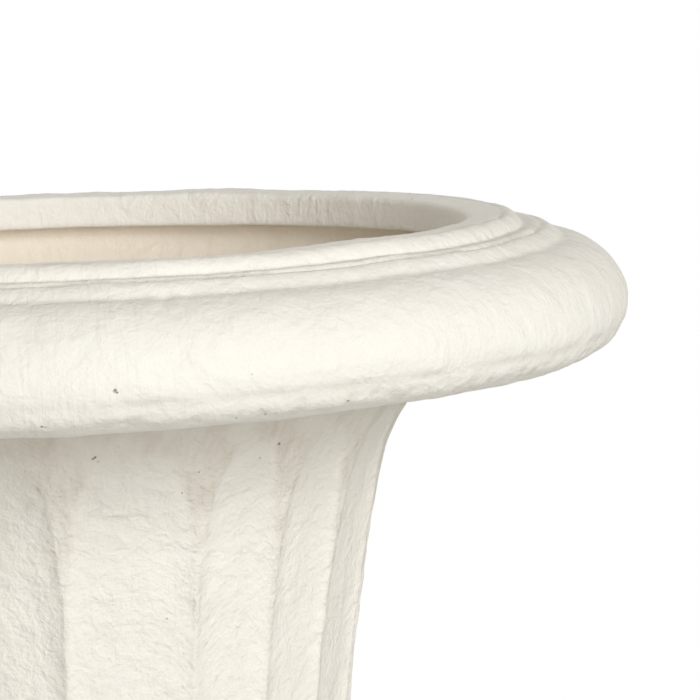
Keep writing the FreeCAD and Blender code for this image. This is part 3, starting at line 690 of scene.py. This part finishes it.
lay = []
moves = []
for vertex, run in zip(bowl.data.vertices, bowl_run):
    x, y, z = vertex.co
    reach = math.hypot(x, y)
    bearing = math.degrees(math.atan2(x, -y))
    a = x / reach * 0.14
    b = y / reach * 0.14
    turned_by = math.radians(bearing) * 0.14
    outer = in_coat(run, bowl_runs[1], bowl_runs[10])
    inner = ease(run, bowl_runs[11] + 0.004, bowl_runs[11] + 0.012)
    inner *= 1 - ease(run, bowl_runs[14], bowl_runs[15])
    swell = 0.0008 * grain(a, b, run, 0.07) + 0.00035 * grain(a, b, run + 5.0, 0.017)
    swell += 0.00014 * grain(a, b, run, 0.0055)
    cut = 0
    shade_and_dirt = 0
    comb = run
    crumbling = 0
    if bowl_runs[7] < run < bowl_runs[10] + 0.0001:
        fill, across, half, number = scoop(bearing, reach, z)
        wander = 0.10 * grain(a, b, z, 0.03) + 0.05 * grain(a, b, z + 2, 0.009)
        fill += wander * ease(fill, -0.6, 0.0)
        cut = flute_depth * 0.5 * (fill + math.sqrt(fill * fill + 0.006))
        comb = z + 0.017 * (across / half) ** 2
        below = 1 - ease(z, bowl_high.z - 0.034, bowl_high.z - 0.016)
        marks = grain(a * 0.8, b * 0.8, comb + 0.003 * grain(a, b, z, 0.014), 0.0062)
        swell += 0.00036 * marks * ease(fill, -0.4, 0.2) * below
        slant = grain(a, b, z * 0.7 - turned_by * 0.6, 0.0055)
        between = 1 - ease(fill, -0.15, 0.20)
        swell += 0.00060 * slant * between * (0.3 + 0.7 * below)
        swell += 0.00030 * near(fill, 0, 0.13) * (0.5 + 1.1 * grain(a, b, z + 9, 0.012)) * below
        if number == 0 and z > waist:
            part = min(1, max(0, ((turned_by - 0.0051) * 0.0105 + (z - 0.6084) * 0.0124) / 0.000264))
            off = math.hypot(turned_by - 0.0051 - 0.0105 * part, z - 0.6084 - 0.0124 * part)
            swell += 0.0010 * near(off, 0, 0.0024)
        # The ridges between flutes are darkened in streaks, most near the top: painted shade together with
        # streaky dirt.
        narrow = ease(bowl_high.z - z, 0.004, 0.016)
        streaks = 0.5 + 0.5 * grain(a * 1.6, b * 1.6, z * 0.45 - turned_by * 0.8, 0.004)
        shade_and_dirt = 0.44 * between * narrow * streaks * (0.8 + 0.9 * grain(a, b, z, 0.012))
        shade_and_dirt *= 1 - 0.5 * ease(-z, -bowl_high.z + 0.03, -bowl_high.z + 0.10)
        # Painted shade: the top of the bell is darkened where the rim's shadow falls.
        shade_and_dirt += 0.13 * ease(z, bowl_high.z - 0.060, bowl_high.z - 0.004)
        crumbling = below * (0.30 + 0.45 * between) * (0.8 + 0.6 * grain(a, b, z + 3, 0.03))
    elif bowl_runs[3] < run < bowl_runs[4]:
        lean = math.degrees(math.atan2(z - cup_mid, reach - cup_centre))
        turn = (math.degrees(math.atan2(y, x)) + 8 + 9) % 18 - 9
        off = abs(math.radians(turn) * reach)
        tool = 0.009
        if lean > 12:
            off = math.hypot(off, (lean - 12) * 0.0006)
        if off < 0.0088:
            cut = (math.sqrt(tool * tool - min(off, 0.00899) ** 2) - 0.003) * (1 - ease(-lean, 76, 84))
            cut = 0.5 * (cut + math.sqrt(cut * cut + 0.0000004))
        # Painted shade: the gadroons are darkened where they are cut deepest.
        shade_and_dirt = 0.18 * ease(cut, 0.003, 0.006)
    crease = sum(near(run, bowl_runs[corner], 0.002) for corner in (2, 4, 5, 7))
    rough = 0.0009 * grain(x, y, z, 0.03) + 0.0004 * grain(x, y, z, 0.009)
    moves.append(vertex.co + vertex.normal * ((swell - cut) * outer + rough * inner))
    bare = ease(run, bowl_runs[11] - 0.004, bowl_runs[11] + 0.002)
    # Painted shade: the coat is also darkened at the outline's corners round the cup and astragal.
    lay.append(((a, b, run), (a, b, comb), shade_and_dirt + 0.2 * crease, bare, crumbling))
laid(bowl, moves, lay)
bpy.ops.object.shade_smooth_by_angle(angle=math.radians(60))
bell_blowholes = [
    (0.0125, -0.1614, 0.6375, 0.0007),
    (0.0112, -0.1619, 0.6392, 0.0006),
    (0.0116, -0.1613, 0.6368, 0.0005),
    (0.0137, -0.1608, 0.6350, 0.0009),
    (0.0896, -0.1333, 0.6347, 0.0008),
    (0.0814, -0.1338, 0.6292, 0.0004),
    (0.0550, -0.1466, 0.6268, 0.0004),
    (0.0478, -0.1444, 0.6180, 0.0004),
]
bowl_light = (0.865, 0.842, 0.78)
bowl_dark = (0.815, 0.785, 0.705)
bowl_clay = clay("bowl_clay", (120, 120, 420), bowl_light, bowl_dark, 0.82, 0.85, bell_blowholes)
bowl.data.materials.append(bowl_clay)
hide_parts("fluted_bowl")
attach(bowl, "urn")


# ---------------------------------------------------------------------- rim
# The rolled rim is cast as a ring and bonded on the bell. The brush went round it, so the roll and
# steps carry fine rings, and its lower edge is a rough crumbly line.

rim_low, rim_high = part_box("rim_ring")
mouth = 0.190
crest = rim_high.z
roll_side = rim_high.x
mouth_edge = crest - 0.001
first_side = mouth + 0.025
first_foot = crest - 0.0065
second_side = first_side + 0.018
second_foot = first_foot - 0.0055
roll_mid = second_foot - 0.028
lip_foot = mouth_edge - 0.017
recess = mouth + 0.013
rim_line, rim_runs = outline(
    [
        (recess, lip_foot, 0, 0.0032),
        (recess, rim_low.z + 0.035, 0, 0.004),
        (throat_bore, rim_low.z, -0.060, 0.0085),
        (roll_side - 0.0185, rim_low.z, 0, 0.0075),
        (roll_side, roll_mid, 0.022, 0.0014),
        (second_side, second_foot, 0.030, 0.0017),
        (first_side, first_foot, 0.016, 0.0015),
        (mouth + 0.017, crest, 0.008, 0.0013),
        (mouth + 0.003, mouth_edge, 0, 0.0018),
        (mouth, mouth_edge - 0.003, 0.003, 0.0011),
        (mouth, lip_foot, 0, 0.0017),
    ],
    0.003,
)
rim_line = soften(rim_line)
rim = turned("rolled_rim", rim_line, 850)
rim_run = follow(rim, rim_line)
seat_run = rim_runs[2]
edge_run = rim_runs[3]
second_run = rim_runs[5]
first_run = rim_runs[6]
lip_run = rim_runs[9]
rim_dents = [
    (-0.012, 0.698, 0.009, 0.0009),
    (0.004, 0.690, 0.006, 0.0006),
    (0.040, 0.7086, 0.003, 0.0007),
    (0.0493, 0.7090, 0.0025, 0.0007),
    (0.119, 0.680, 0.005, 0.0006),
    (0.128, 0.676, 0.004, 0.0006),
    (0.109, 0.678, 0.004, 0.0005),
]
lay = []
moves = []
for vertex, run in zip(rim.data.vertices, rim_run):
    x, y, z = vertex.co
    reach = math.hypot(x, y)
    a = x / reach * 0.25
    b = y / reach * 0.25
    beyond_seat = ease(reach, 0.186, 0.192) * ease(run, seat_run, seat_run + 0.001)
    seat = 1 - ease(run, seat_run - 0.030, seat_run - 0.004) * (1 - beyond_seat)
    swell = 0.0011 * grain(a, b, run, 0.085) + 0.00045 * grain(a, b, run + 6.0, 0.020)
    swell += 0.00020 * grain(a, b, run, 0.006)
    swell += 0.00016 * grain(a, b, run * 0.1, 0.0045) * ease(grain(a, b, 146.52, 0.16), -0.1, 0.3)
    shade_and_dirt = 0
    sway = 0
    for dent_x, dent_z, wide, deep in rim_dents:
        if y < 0 and abs(x - dent_x) < 3 * wide:
            off = math.hypot(x - dent_x, z - dent_z)
            swell -= deep * near(off, 0, wide) * (1 + 0.8 * grain(a, b, run, 0.006))
    for line, deep, tall in ((second_run, 0.0014, 3.0), (first_run, 0.0011, 5.0)):
        drift = 0.0011 * grain(a, b, tall, 0.045) + 0.0004 * grain(a, b, tall + 1, 0.012)
        sway += drift * near(run, line, 0.009)
        groove = near(run, line, 0.0012)
        pressed = deep * (0.9 + 0.9 * grain(a, b, tall + 4, 0.03))
        swell -= pressed * groove
        # Painted shade: the step grooves are darkened as dark lines at the foot of each step.
        shade_and_dirt += 0.30 * groove * (0.7 + grain(a, b, tall, 0.02))
    edge = near(run - edge_run, 0.003, 0.0045)
    crumbs = grain(a, b, run, 0.0058) + 0.7 * grain(a, b, run + 2.0, 0.0125)
    swell += edge * (0.0007 * crumbs + 0.0002)
    shelf = near(run - edge_run, 0.0105, 0.0022)
    swell -= shelf * 0.0007 * (0.6 + grain(a, b, 8.0, 0.02))
    # Painted shade: the pressed line on the lower roll and the low spots among the crumbs at its edge are
    # darkened.
    shade_and_dirt += 0.20 * shelf * (0.5 + grain(a, b, 8.0, 0.02)) + 0.25 * edge * ease(-crumbs, 0.15, 0.7)
    outward = Vector((x / reach, y / reach, 0))
    moves.append(vertex.co + (vertex.normal * swell + outward * sway) * seat)
    inside = ease(run, lip_run, lip_run + 0.002)
    stained = inside * ease(grain(a, b, run + 17.0, 0.05), 0.0, 0.35)
    crumbling = 0.45 * edge + 0.35 * near(run - second_run, 0.002, 0.003)
    if y < 0:
        crumbling += 0.8 * near(x, 0.119, 0.012) * near(z, 0.678, 0.006)
    crumbling += 0.45 * ease(grain(a, b, run + 11.0, 0.035), 0.25, 0.6) + 0.1 * stained
    bare = 1 - ease(run, seat_run - 0.002, seat_run)
    lay.append(((a, b, run), (a, b, run), shade_and_dirt + 0.10 * stained, bare + 0.5 * stained, crumbling))
laid(rim, moves, lay)
hold(rim)
bpy.ops.object.shade_smooth_by_angle(angle=math.radians(70))
rim_blowholes = [
    (-0.0075, -0.2562, 0.6656, 0.0006),
    (-0.0062, -0.2562, 0.6653, 0.0004),
    (0.0196, -0.2614, 0.6784, 0.0008),
    (0.0204, -0.2612, 0.6777, 0.0005),
    (0.0646, -0.2450, 0.6637, 0.0006),
    (0.0758, -0.2421, 0.6641, 0.0005),
    (0.0798, -0.2411, 0.6642, 0.0004),
    (0.0835, -0.2401, 0.6644, 0.0004),
    (0.1084, -0.2311, 0.6661, 0.0007),
    (0.1108, -0.2300, 0.6662, 0.0004),
    (0.1134, -0.2290, 0.6666, 0.0005),
]
rim_light = (0.89, 0.872, 0.815)
rim_dark = (0.845, 0.818, 0.742)
rim_clay = clay("rim_clay", (330, 330, 26), rim_light, rim_dark, 0.80, 0.6, rim_blowholes)
rim.data.materials.append(rim_clay)
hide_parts("rim_ring")
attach(rim, "urn")


# ------------------------------------------------------------------ tie rod
# A length of M12 threaded rod, cold rolled and zinc plated, sawn to length and chamfered at both
# ends. It pulls bowl, pedestal and plinth together.

def zinc(name, streaks, roughness):
    """Bright zinc plate: fine streaks, cloudy spangle and a few dull patches."""
    made, tree, surface, place = material(name)
    surface.inputs["Metallic"].default_value = 1.0
    drawn = add(tree, "Mapping", None, Vector=place, Scale=streaks).outputs[0]
    lines = add(tree, "TexNoise", None, Vector=drawn, Scale=1.0, Detail=3.0, Roughness=0.6)
    spangle = add(tree, "TexVoronoi", None, Vector=place, Scale=380.0, Randomness=1.0)
    cloud = add(tree, "TexNoise", None, Vector=place, Scale=90.0, Detail=4.0, Roughness=0.6)
    clouded = sums(tree, "MULTIPLY", cloud.outputs["Fac"], 0.7)
    shade = sums(tree, "ADD", clouded, sums(tree, "MULTIPLY", spangle.outputs["Distance"], 0.3))
    tint = shaded(tree, shade, 0.30, (0.40, 0.405, 0.41), 0.62, (0.66, 0.665, 0.67))
    rough = add(tree, "MapRange", None, Value=shade, _1=0.3, _2=0.65, _3=roughness + 0.16, _4=roughness)
    dress(tree, surface, tint, rough.outputs[0], lines.outputs["Fac"], 0.5, 0.0001)
    return made


rod_low, rod_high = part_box("tie_rod")
rod_reach = rod_high.x
pitch = 0.00175
root = rod_reach - 0.00105
threads = int((rod_high.z - rod_low.z) / pitch) + 2
tooth = [
    (root, 0),
    (root, 0.00022),
    (rod_reach - 0.00005, 0.00082),
    (rod_reach, 0.00088),
    (rod_reach - 0.00005, 0.00098),
    (root, pitch - 0.00008),
    (root, pitch),
]
bpy.ops.object.select_all(action="DESELECT")
bpy.ops.mesh.primitive_circle_add(vertices=len(tooth), radius=0.01, location=(0, 0, 0))
thread = bpy.context.object
thread.name = "thread"
for vertex, (reach, rise) in zip(thread.data.vertices, tooth):
    vertex.co = (reach, 0, rod_low.z - pitch + rise)
bpy.ops.object.mode_set(mode="EDIT")
pick(thread, lambda along: abs(along.z) > 0.001)
bpy.ops.mesh.delete(type="EDGE")
bpy.ops.object.mode_set(mode="OBJECT")
rolling = thread.modifiers.new("rolling", "SCREW")
rolling.steps = 20
rolling.render_steps = 20
rolling.screw_offset = pitch
rolling.iterations = threads
rolling.use_merge_vertices = True
rolling.merge_threshold = 0.00001
hold(thread)
bpy.ops.object.modifier_apply(modifier="rolling")
bpy.ops.object.mode_set(mode="EDIT")
for level, upwards in ((rod_low.z + 0.0009, -1), (rod_high.z - 0.0009, 1)):
    bpy.ops.mesh.select_all(action="SELECT")
    bpy.ops.mesh.remove_doubles(threshold=0.00001)
    bpy.ops.mesh.bisect(plane_co=(0, 0, level), plane_no=(0, 0, upwards), use_fill=True, clear_outer=True)
bpy.ops.mesh.select_all(action="SELECT")
bpy.ops.mesh.normals_make_consistent(inside=False)
bpy.ops.object.mode_set(mode="OBJECT")
ends = []
for tip, inward in ((rod_low.z, 1), (rod_high.z, -1)):
    chamfer = [
        Vector((0, tip)),
        Vector((root - 0.0006, tip)),
        Vector((root - 0.0003, tip + 0.00012 * inward)),
        Vector((root + 0.0004, tip + 0.0009 * inward)),
        Vector((root - 0.0002, tip + 0.0016 * inward)),
        Vector((0, tip + 0.0016 * inward)),
    ]
    ends.append(turned("rod_end", chamfer, 40))
    bpy.ops.object.shade_smooth_by_angle(angle=math.radians(30))
thread_rod = joined("threaded_rod", [thread] + ends)
bpy.ops.object.shade_smooth_by_angle(angle=math.radians(25))
rolled_zinc = zinc("rolled_zinc", (900, 900, 60), 0.30)
thread_rod.data.materials.clear()
thread_rod.data.materials.append(rolled_zinc)
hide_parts("tie_rod")
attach(thread_rod, "urn")


# --------------------------------------------------------- washers and seal
# Two thick plate washers, punched and zinc plated, with one edge rolled over by the punch, and a
# rubber washer that keeps the rod hole in the bowl's floor tight.

rod_hole = 0.0063
washer_low, washer_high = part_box("tie_washers")
washer_reach = washer_high.x
washer_thick = 0.004
plates = []
for level in (washer_low.z, washer_high.z - washer_thick):
    plate_line, _ = outline(
        [
            (rod_hole + 0.0002, level),
            (washer_reach - 0.0009, level, 0, 0.003),
            (washer_reach, level + 0.0009, 0.0009, 0.0003),
            (washer_reach, level + washer_thick - 0.0003, 0, 0.001),
            (washer_reach - 0.0003, level + washer_thick, 0.0003, 0.0002),
            (rod_hole + 0.0006, level + washer_thick, 0, 0.003),
            (rod_hole, level + washer_thick - 0.0006, 0, 0.001),
            (rod_hole, level + 0.0002, 0, 0.001),
        ],
        0.001,
    )
    plates.append(turned("washer", plate_line, 96))
washers = joined("plate_washers", plates)
bpy.ops.object.shade_smooth_by_angle(angle=math.radians(35))
washers.data.materials.append(zinc("punched_zinc", (260, 260, 260), 0.34))
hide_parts("tie_washers")
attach(washers, "urn")

seal_low, seal_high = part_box("rod_seal")
seal_reach = seal_high.x
seal_line, _ = outline(
    [
        (rod_hole, seal_low.z + 0.0003),
        (rod_hole + 0.0003, seal_low.z),
        (seal_reach - 0.0008, seal_low.z, 0, 0.003),
        (seal_reach - 0.0001, seal_low.z + 0.0007, 0, 0.0005),
        (seal_reach, (seal_low.z + seal_high.z) / 2, 0, 0.0006),
        (seal_reach - 0.0001, seal_high.z - 0.0007, 0, 0.0006),
        (seal_reach - 0.0008, seal_high.z, 0, 0.0005),
        (rod_hole, seal_high.z, 0, 0.003),
    ],
    0.001,
)
seal = turned("rod_hole_seal", seal_line, 96)
bpy.ops.object.shade_smooth_by_angle(angle=math.radians(40))
seal.data.materials.append(sheet_rubber)
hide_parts("rod_seal")
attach(seal, "urn")


# --------------------------------------------------------------------- nuts
# Two M12 hexagon nuts, forged and zinc plated, one in the bowl and one under the plinth's web.
# Both faces are chamfered on a lathe, so the flats end in curved edges.

nuts_low, nuts_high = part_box("tie_nuts")
nut_tall = 0.010
nut_half = min(nuts_high.x, nuts_high.y)
nut_corner = nut_half / math.cos(math.pi / 6)
flats_across_y = nuts_high.y < nuts_high.x
nuts = []
for level in (nuts_low.z, nuts_high.z - nut_tall):
    nut_line, _ = outline(
        [
            (rod_hole, level + 0.0008),
            (rod_hole + 0.0008, level),
            (nut_half - 0.0003, level, 0, 0.001),
            (nut_corner, level + 0.0011, 0, 0.0002),
            (nut_corner, level + nut_tall - 0.0011, 0, 0.0010),
            (nut_half - 0.0003, level + nut_tall, 0, 0.0002),
            (rod_hole + 0.0008, level + nut_tall, 0, 0.001),
            (rod_hole, level + nut_tall - 0.0008, 0, 0.0004),
        ],
        0.001,
    )
    nut = turned("nut", nut_line, 120)
    for vertex in nut.data.vertices:
        bearing = math.degrees(math.atan2(vertex.co.y, vertex.co.x)) + (0 if flats_across_y else 30)
        reach = math.hypot(vertex.co.x, vertex.co.y)
        flat = (nut_half - 0.00002) / math.cos(math.radians(bearing % 60 - 30))
        if reach > flat:
            vertex.co.x *= flat / reach
            vertex.co.y *= flat / reach
    nuts.append(nut)
hexagons = joined("hexagon_nuts", nuts)
bpy.ops.object.shade_smooth_by_angle(angle=math.radians(18))
hexagons.data.materials.append(zinc("forged_zinc", (420, 420, 420), 0.32))
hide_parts("tie_nuts")
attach(hexagons, "urn")


# ------------------------------------------------------------- drain sleeve
# A moulded grey plastic bush with a flange. It is pushed into the drain hole from above and lines
# it down into the hollow pedestal.

def moulded_plastic(name, colour, roughness):
    """Moulded plastic: spark-eroded grain, faint scuffs and lime from the water."""
    made, tree, surface, place = material(name)
    fine = add(tree, "TexNoise", None, Vector=place, Scale=2600.0, Detail=2.0, Roughness=0.5)
    scuff = add(tree, "TexNoise", None, Vector=place, Scale=140.0, Detail=5.0, Roughness=0.65, Distortion=0.6)
    scuff = scuff.outputs["Fac"]
    limed = [0.6 * shade + 0.16 for shade in colour]
    tint = shaded(tree, scuff, 0.42, colour, 0.78, limed)
    dull = roughness + 0.12
    rough = add(tree, "MapRange", None, Value=scuff, _1=0.3, _2=0.7, _3=roughness - 0.08, _4=dull)
    dress(tree, surface, tint, rough.outputs[0], fine.outputs["Fac"], 0.3, 0.00015)
    return made


sleeve_low, sleeve_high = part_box("drain_sleeve")
flange_reach = (sleeve_high.x - sleeve_low.x) / 2
drain_place = (sleeve_high.x + sleeve_low.x) / 2
sleeve_reach = flange_reach - 0.0035
sleeve_bore = sleeve_reach - 0.002
flange_foot = sleeve_high.z - 0.003
sleeve_line, _ = outline(
    [
        (sleeve_bore, sleeve_low.z + 0.0004),
        (sleeve_bore + 0.0004, sleeve_low.z),
        (sleeve_reach - 0.0008, sleeve_low.z, 0, 0.0006),
        (sleeve_reach - 0.0001, sleeve_low.z + 0.0020, 0, 0.0007),
        (sleeve_reach, flange_foot - 0.0006, 0, 0.004),
        (sleeve_reach + 0.0002, flange_foot, 0, 0.0003),
        (flange_reach - 0.0003, flange_foot, 0, 0.001),
        (flange_reach, flange_foot + 0.0003),
        (flange_reach, sleeve_high.z - 0.0008, 0, 0.0008),
        (flange_reach - 0.0008, sleeve_high.z, 0.0008, 0.0003),
        (sleeve_bore + 0.0012, sleeve_high.z, 0, 0.001),
        (sleeve_bore, sleeve_high.z - 0.0012, 0.0012, 0.0003),
    ],
    0.004,
)
sleeve = turned("drain_bush", sleeve_line, 96)
bpy.ops.object.shade_smooth_by_angle(angle=math.radians(35))
sleeve.location.x = drain_place
set_down(sleeve)
sleeve.data.materials.append(moulded_plastic("bush_plastic", (0.13, 0.13, 0.127), 0.48))
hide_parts("drain_sleeve")
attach(sleeve, "urn")


# --------------------------------------------------------------- drain plug
# One piece of soft moulded rubber: a tapered stem with two sealing ribs, a flat head that sits on
# the flange and a loop for a finger or a hook. It lifts straight out.

plug_low, plug_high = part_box("drain_plug")
head_reach = (plug_high.x - plug_low.x) / 2
head_foot = sleeve_high.z
head_top = head_foot + 0.004
loop_reach = 0.009
loop_wire = 0.002
plug_line = [
    (0, plug_low.z),
    (0.0078, plug_low.z),
    (0.0087, plug_low.z + 0.0010),
    (0.0090, plug_low.z + 0.0040),
    (0.0095, plug_low.z + 0.0047),
    (0.0091, plug_low.z + 0.0056),
    (0.0094, plug_low.z + 0.0090),
    (0.0098, plug_low.z + 0.0097),
    (0.0095, plug_low.z + 0.0106),
    (0.0097, head_foot),
    (head_reach - 0.0004, head_foot),
    (head_reach, head_foot + 0.0005),
    (head_reach, head_top - 0.0010),
    (head_reach - 0.0010, head_top),
    (0.0125, head_top),
    (0.0120, head_top - 0.0006),
    (0.0116, head_top - 0.0006),
    (0.0110, head_top),
    (0, head_top),
]
stem = turned("plug_stem", [Vector(point) for point in plug_line], 72)
bpy.ops.object.select_all(action="DESELECT")
bpy.ops.mesh.primitive_torus_add(
    major_radius=loop_reach,
    minor_radius=loop_wire - 0.0001,
    major_segments=64,
    minor_segments=20,
    location=(0, 0, head_top),
    rotation=(math.pi / 2, 0, 0),
)
loop = bpy.context.object
set_down(loop)
bpy.ops.object.mode_set(mode="EDIT")
bpy.ops.mesh.select_all(action="SELECT")
bpy.ops.mesh.bisect(plane_co=(0, 0, head_top - 0.001), plane_no=(0, 0, -1), use_fill=True, clear_outer=True)
bpy.ops.mesh.select_all(action="SELECT")
bpy.ops.mesh.normals_make_consistent(inside=False)
bpy.ops.object.mode_set(mode="OBJECT")
plug = joined("pull_plug", [stem, loop])
moulding = plug.modifiers.new("moulding", "REMESH")
moulding.mode = "VOXEL"
moulding.voxel_size = 0.00036
bpy.ops.object.modifier_apply(modifier="moulding")
rounding = plug.modifiers.new("rounding", "SMOOTH")
rounding.factor = 0.5
rounding.iterations = 3
bpy.ops.object.modifier_apply(modifier="rounding")
bpy.ops.object.shade_smooth()
plug.location.x = drain_place
set_down(plug)
plug.data.materials.append(rubber("plug_rubber", (0.035, 0.035, 0.036), 0.60, 1900))
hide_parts("drain_plug")
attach(plug, "plug")


# ------------------------------------------------------- floor, light, camera
# A white studio sweep with a broad soft light in front, a little to the right, and a weaker one
# behind. The camera stands where the photograph was taken.

def plainly(tree):
    """1 for what the camera sees, also in metal and through glass."""
    ray = add(tree, "LightPath")
    mirrored = sums(tree, "MAXIMUM", ray.outputs["Is Glossy Ray"], ray.outputs["Is Transmission Ray"])
    return sums(tree, "MAXIMUM", ray.outputs["Is Camera Ray"], mirrored)


bpy.ops.object.select_all(action="DESELECT")
bpy.ops.mesh.primitive_circle_add(vertices=128, radius=1.45, fill_type="NGON", location=(0, 0, 0))
floor = bpy.context.object
floor.name = "studio_floor"
floor_paint, tree, surface, place = material("floor_paint")
surface.inputs["Base Color"].default_value = (0.80, 0.80, 0.80, 1)
surface.inputs["Roughness"].default_value = 0.95
away = add(tree, "VectorMath", {"operation": "LENGTH"}, _0=place)
seen = sums(tree, "MULTIPLY", fading(tree, away.outputs["Value"], 0.45, 1.3, 0.0, 1.0), plainly(tree))
glow = add(tree, "Emission", None, Color=(1, 1, 1, 1), Strength=1.0)
blend = add(tree, "MixShader", None, _0=seen, _1=surface.outputs[0], _2=glow.outputs[0])
tree.links.new(blend.outputs[0], tree.nodes["Material Output"].inputs["Surface"])
floor.data.materials.append(floor_paint)

world = bpy.data.worlds.new("studio")
bpy.context.scene.world = world
world.use_nodes = True
tree = world.node_tree
soft = tree.nodes["Background"]
soft.inputs["Color"].default_value = (1.0, 0.955, 0.89, 1)
soft.inputs["Strength"].default_value = 0.32
clear = add(tree, "Background", None, Color=(1, 1, 1, 1), Strength=1.0)
blend = add(tree, "MixShader", None, _0=plainly(tree), _1=soft.outputs[0], _2=clear.outputs[0])
tree.links.new(blend.outputs[0], tree.nodes["World Output"].inputs["Surface"])


def softbox(name, place, target, wide, tall, power):
    """A broad soft light that faces a point."""
    lamp = bpy.data.lights.new(name, "AREA")
    lamp.shape = "RECTANGLE"
    lamp.size = wide
    lamp.size_y = tall
    lamp.energy = power
    stand = bpy.data.objects.new(name, lamp)
    bpy.context.collection.objects.link(stand)
    stand.location = place
    stand.rotation_euler = (Vector(target) - Vector(place)).to_track_quat("-Z", "Y").to_euler()


softbox("front", (2.0, -4.9, 2.4), (0.0, 0.0, 0.62), 5.4, 3.2, 275)
softbox("rear", (-2.0, 4.9, 1.7), (0.0, 0.0, 0.62), 5.4, 3.2, 130)

view = bpy.data.cameras.new("photo_camera")
view.lens = 135.36
view.sensor_width = 36
camera = bpy.data.objects.new("photo_camera", view)
bpy.context.collection.objects.link(camera)
aim = Matrix.Rotation(-0.11092, 4, "Z") @ Matrix.Rotation(math.pi / 2 - 0.12833, 4, "X")
aim = aim @ Matrix.Rotation(-0.03077, 4, "Z")
camera.matrix_world = Matrix.Translation((0, -1.2168, 0.8136)) @ aim
bpy.context.scene.camera = camera
bpy.context.scene.view_settings.view_transform = "Standard"
